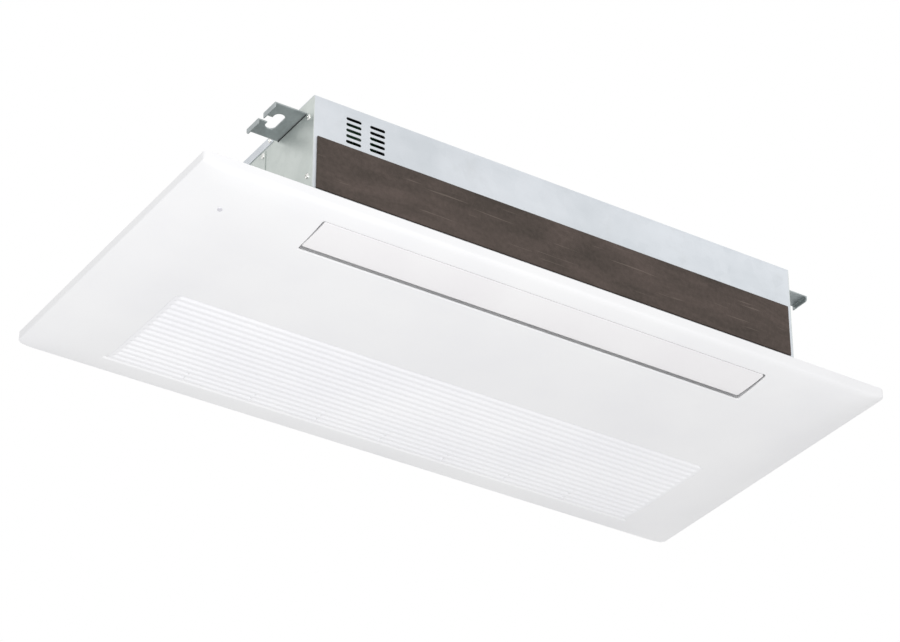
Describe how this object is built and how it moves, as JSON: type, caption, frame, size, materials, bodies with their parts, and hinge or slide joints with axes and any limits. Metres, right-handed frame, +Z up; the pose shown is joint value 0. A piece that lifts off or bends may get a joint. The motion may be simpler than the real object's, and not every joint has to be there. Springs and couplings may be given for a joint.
{
  "type": "ceiling cassette air conditioner indoor unit",
  "caption": "Slim one-way ceiling cassette indoor unit: domed white trim panel with swing louver and ribbed intake grille under a hung galvanised casing with fan and coil.",
  "frame": {"origin": "middle of the trim panel on the ceiling plane", "axes": "+X along the unit, -Y towards the air outlet side, +Z up into the ceiling"},
  "size_m": [1.18, 0.57, 0.1963],
  "materials": {
    "panel_white": "fine satin moulded plastic",
    "casing_steel": "galvanised sheet steel",
    "lug_steel": "thick galvanised steel plate",
    "bright_steel": "zinc plated steel",
    "brown_foam": "closed cell insulation foam with a matt skin",
    "black_foam": "soft sealing foam",
    "black_rubber": "moulded rubber",
    "white_foam": "expanded bead foam",
    "grey_plastic": "moulded plastic",
    "filter_net": "fine woven net",
    "motor_grey": "motor shell",
    "dark_magnet": "sintered magnet",
    "lens_smoke": "pale translucent lens",
    "board_green": "circuit board",
    "fin_aluminium": "thin fins",
    "copper": "copper tube",
    "brass": "machined brass"
  },
  "bodies": {
    "casing": {"panel_frame": "panel_white", "grille_hinge_pins": "bright_steel", "catch_magnets": "dark_magnet", "louver_motor": "bright_steel", "receiver_lens": "lens_smoke", "receiver_board": "board_green", "panel_gasket": "black_foam", "panel_screws": "bright_steel", "base_plate": "casing_steel", "casing_front": "casing_steel", "casing_rear": "casing_steel", "end_plate_left": "casing_steel", "end_plate_right": "casing_steel", "casing_top": "casing_steel", "front_foam_sheet": "brown_foam", "hanger_front_left": "lug_steel", "hanger_front_right": "lug_steel", "hanger_rear_left": "lug_steel", "hanger_rear_right": "lug_steel", "casing_screws": "bright_steel", "wiring_cover": "casing_steel", "cable_grommets": "black_rubber", "partition_left": "casing_steel", "partition_right": "casing_steel", "electronics_tray": "casing_steel", "circuit_board": "board_green", "terminal_block": "grey_plastic", "outlet_frame": "grey_plastic", "scroll_block": "white_foam", "drain_pan": "white_foam", "coil_fins": "fin_aluminium", "coil_end_plates": "casing_steel", "coil_tubes": "copper", "liquid_pipe": "copper", "gas_pipe": "copper", "flare_unions": "brass", "bearing_bush": "black_rubber", "fan_motor": "motor_grey", "motor_bracket": "casing_steel", "drain_pump": "grey_plastic", "drain_outlet": "grey_plastic", "float_stem": "grey_plastic"},
    "grille": {"intake_grille": "panel_white", "catch_keepers": "bright_steel"},
    "filter": {"air_filter_frame": "grey_plastic", "air_filter_mesh": "filter_net"},
    "louver": {"louver_blade": "panel_white"},
    "fan": {"fan_rotor": "grey_plastic", "fan_shaft": "bright_steel"},
    "impeller": {"pump_impeller": "grey_plastic"},
    "float": {"float_ring": "white_foam"},
    "link": {"vane_link": "grey_plastic"},
    "vane_1": {"guide_vane_1": "grey_plastic"},
    "vane_2": {"guide_vane_2": "grey_plastic"},
    "vane_3": {"guide_vane_3": "grey_plastic"},
    "vane_4": {"guide_vane_4": "grey_plastic"},
    "vane_5": {"guide_vane_5": "grey_plastic"},
    "vane_6": {"guide_vane_6": "grey_plastic"},
    "vane_7": {"guide_vane_7": "grey_plastic"},
    "vane_8": {"guide_vane_8": "grey_plastic"}
  },
  "joints": [
    {"name": "fan_spin", "type": "hinge", "parent": "casing", "child": "fan", "pos_m": [0, -0.122, 0.094], "axis": [1, 0, 0], "continuous": true},
    {"name": "louver_swing", "type": "hinge", "parent": "casing", "child": "louver", "pos_m": [0, -0.192, -0.016], "axis": [1, 0, 0], "range_deg": [0, 70]},
    {"name": "vane_swing_1", "type": "hinge", "parent": "casing", "child": "vane_1", "pos_m": [-0.30625, -0.219, 0.036], "axis": [0, 1, 0], "range_deg": [-30, 30]},
    {"name": "vane_swing_2", "type": "hinge", "parent": "casing", "child": "vane_2", "pos_m": [-0.21875, -0.219, 0.036], "axis": [0, 1, 0], "range_deg": [-30, 30]},
    {"name": "vane_swing_3", "type": "hinge", "parent": "casing", "child": "vane_3", "pos_m": [-0.13125, -0.219, 0.036], "axis": [0, 1, 0], "range_deg": [-30, 30]},
    {"name": "vane_swing_4", "type": "hinge", "parent": "casing", "child": "vane_4", "pos_m": [-0.04375, -0.219, 0.036], "axis": [0, 1, 0], "range_deg": [-30, 30]},
    {"name": "vane_swing_5", "type": "hinge", "parent": "casing", "child": "vane_5", "pos_m": [0.04375, -0.219, 0.036], "axis": [0, 1, 0], "range_deg": [-30, 30]},
    {"name": "vane_swing_6", "type": "hinge", "parent": "casing", "child": "vane_6", "pos_m": [0.13125, -0.219, 0.036], "axis": [0, 1, 0], "range_deg": [-30, 30]},
    {"name": "vane_swing_7", "type": "hinge", "parent": "casing", "child": "vane_7", "pos_m": [0.21875, -0.219, 0.036], "axis": [0, 1, 0], "range_deg": [-30, 30]},
    {"name": "vane_swing_8", "type": "hinge", "parent": "casing", "child": "vane_8", "pos_m": [0.30625, -0.219, 0.036], "axis": [0, 1, 0], "range_deg": [-30, 30]},
    {"name": "link_turn", "type": "hinge", "parent": "vane_1", "child": "link", "pos_m": [-0.30625, -0.1825, 0.014], "axis": [0, 1, 0], "range_deg": [-30, 30]},
    {"name": "grille_swing", "type": "hinge", "parent": "casing", "child": "grille", "pos_m": [0, 0.23118, -0.02549], "axis": [1, 0, 0], "range_deg": [0, 85]},
    {"name": "filter_lift", "type": "slide", "parent": "grille", "child": "filter", "axis": [0, 0, 1], "range_m": [0, 0.008]},
    {"name": "pump_spin", "type": "hinge", "parent": "casing", "child": "impeller", "pos_m": [0.385, -0.058, 0.034], "axis": [0, 0, 1], "continuous": true},
    {"name": "float_rise", "type": "slide", "parent": "casing", "child": "float", "axis": [0, 0, 1], "range_m": [0, 0.008]}
  ],
  "couplings": [
    {"joint": "vane_swing_2", "follows": "vane_swing_1", "ratio": 1},
    {"joint": "vane_swing_3", "follows": "vane_swing_1", "ratio": 1},
    {"joint": "vane_swing_4", "follows": "vane_swing_1", "ratio": 1},
    {"joint": "vane_swing_5", "follows": "vane_swing_1", "ratio": 1},
    {"joint": "vane_swing_6", "follows": "vane_swing_1", "ratio": 1},
    {"joint": "vane_swing_7", "follows": "vane_swing_1", "ratio": 1},
    {"joint": "vane_swing_8", "follows": "vane_swing_1", "ratio": 1},
    {"joint": "link_turn", "follows": "vane_swing_1", "ratio": -1}
  ]
}
